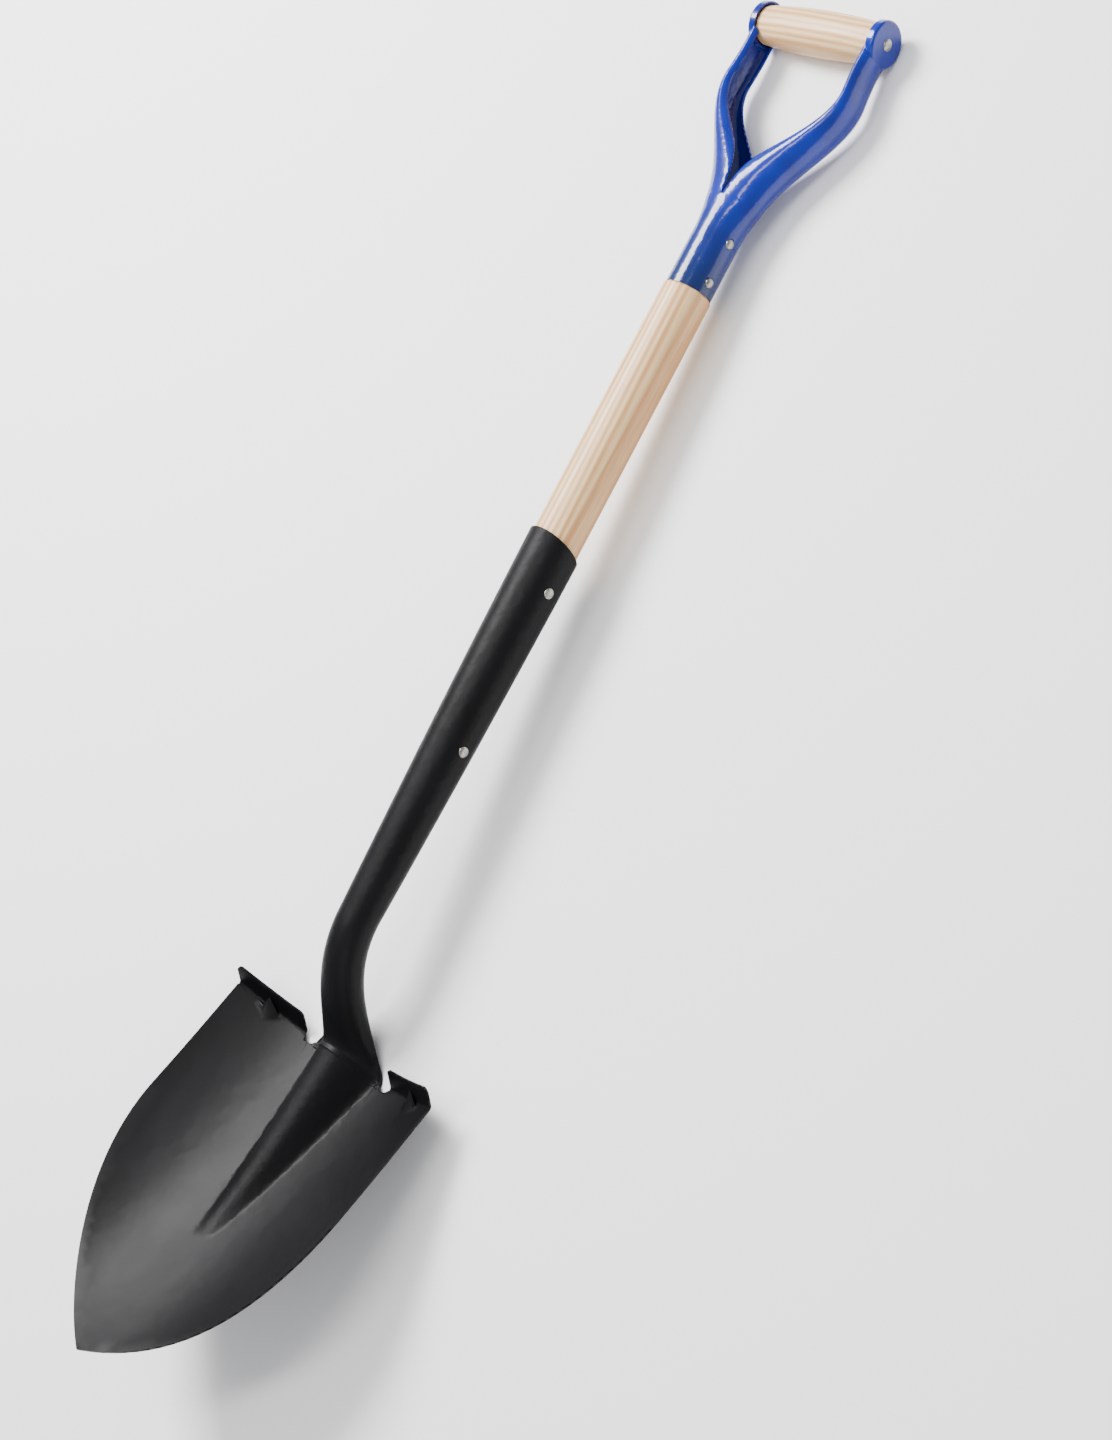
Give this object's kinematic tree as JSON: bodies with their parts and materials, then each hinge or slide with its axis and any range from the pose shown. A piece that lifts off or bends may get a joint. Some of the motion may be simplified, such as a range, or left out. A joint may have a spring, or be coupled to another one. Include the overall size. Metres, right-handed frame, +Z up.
{
  "type": "round point shovel",
  "caption": "Round point digging shovel with a stamped steel blade, folded foot steps, ash shaft and a forked D-handle with a turning wooden grip.",
  "frame": {"origin": "centre of the bounding box's bottom face, on the surface that the shovel lies on", "axes": "+Y from the blade's point to the grip, +X to the blade's right seen from its hollow side, +Z up, out of the hollow side"},
  "size_m": [0.223, 1.095, 0.1298],
  "materials": {
    "blade_steel": "satin black powder coat on stamped steel sheet",
    "ash_wood": "clear lacquered ash",
    "yoke_enamel": "gloss blue enamel on formed steel",
    "rivet_steel": "bare peened steel"
  },
  "bodies": {
    "shovel": {"blade": "blade_steel", "handle_shaft": "ash_wood", "d_yoke": "yoke_enamel", "socket_rivet_lower": "rivet_steel", "socket_rivet_upper": "rivet_steel", "yoke_rivet_lower": "rivet_steel", "yoke_rivet_upper": "rivet_steel", "grip_rivet": "rivet_steel"},
    "grip": {"grip": "ash_wood"}
  },
  "joints": [
    {"name": "grip_turn", "type": "hinge", "parent": "shovel", "child": "grip", "pos_m": [0, 0.53012, 0.0174], "axis": [1, 0, 0], "continuous": true}
  ]
}
